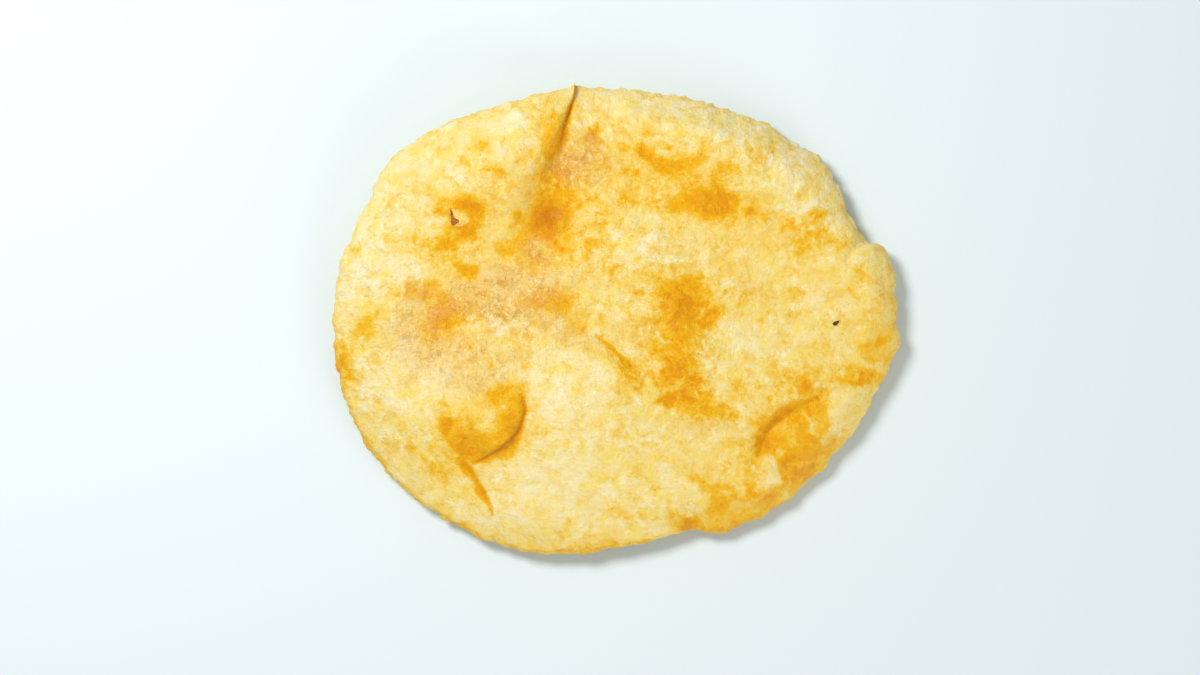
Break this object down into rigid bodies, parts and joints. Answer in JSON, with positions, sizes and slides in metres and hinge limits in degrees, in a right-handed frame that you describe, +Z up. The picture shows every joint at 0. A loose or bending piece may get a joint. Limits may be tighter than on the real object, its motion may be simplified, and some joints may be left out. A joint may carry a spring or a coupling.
{
  "type": "bhatura",
  "caption": "Large oval deep-fried leavened flatbread, puffed and partly sunk, with a pleated fold at the rim, soft hollows and a rounded edge.",
  "frame": {"origin": "on the surface the bread lies on, under the middle of its outline seen from above", "axes": "+Z up through the bread, out of its folded and browned upper side; +X along the longer side; +Y towards the rim where the upper skin is pinched into a pleat"},
  "size_m": [0.2204, 0.1826, 0.0279],
  "materials": {
    "fried_dough": "fried crust, pale gold with browner patches, slightly oily sheen"
  },
  "bodies": {
    "root": {"bhatura": "fried_dough"}
  },
  "joints": []
}
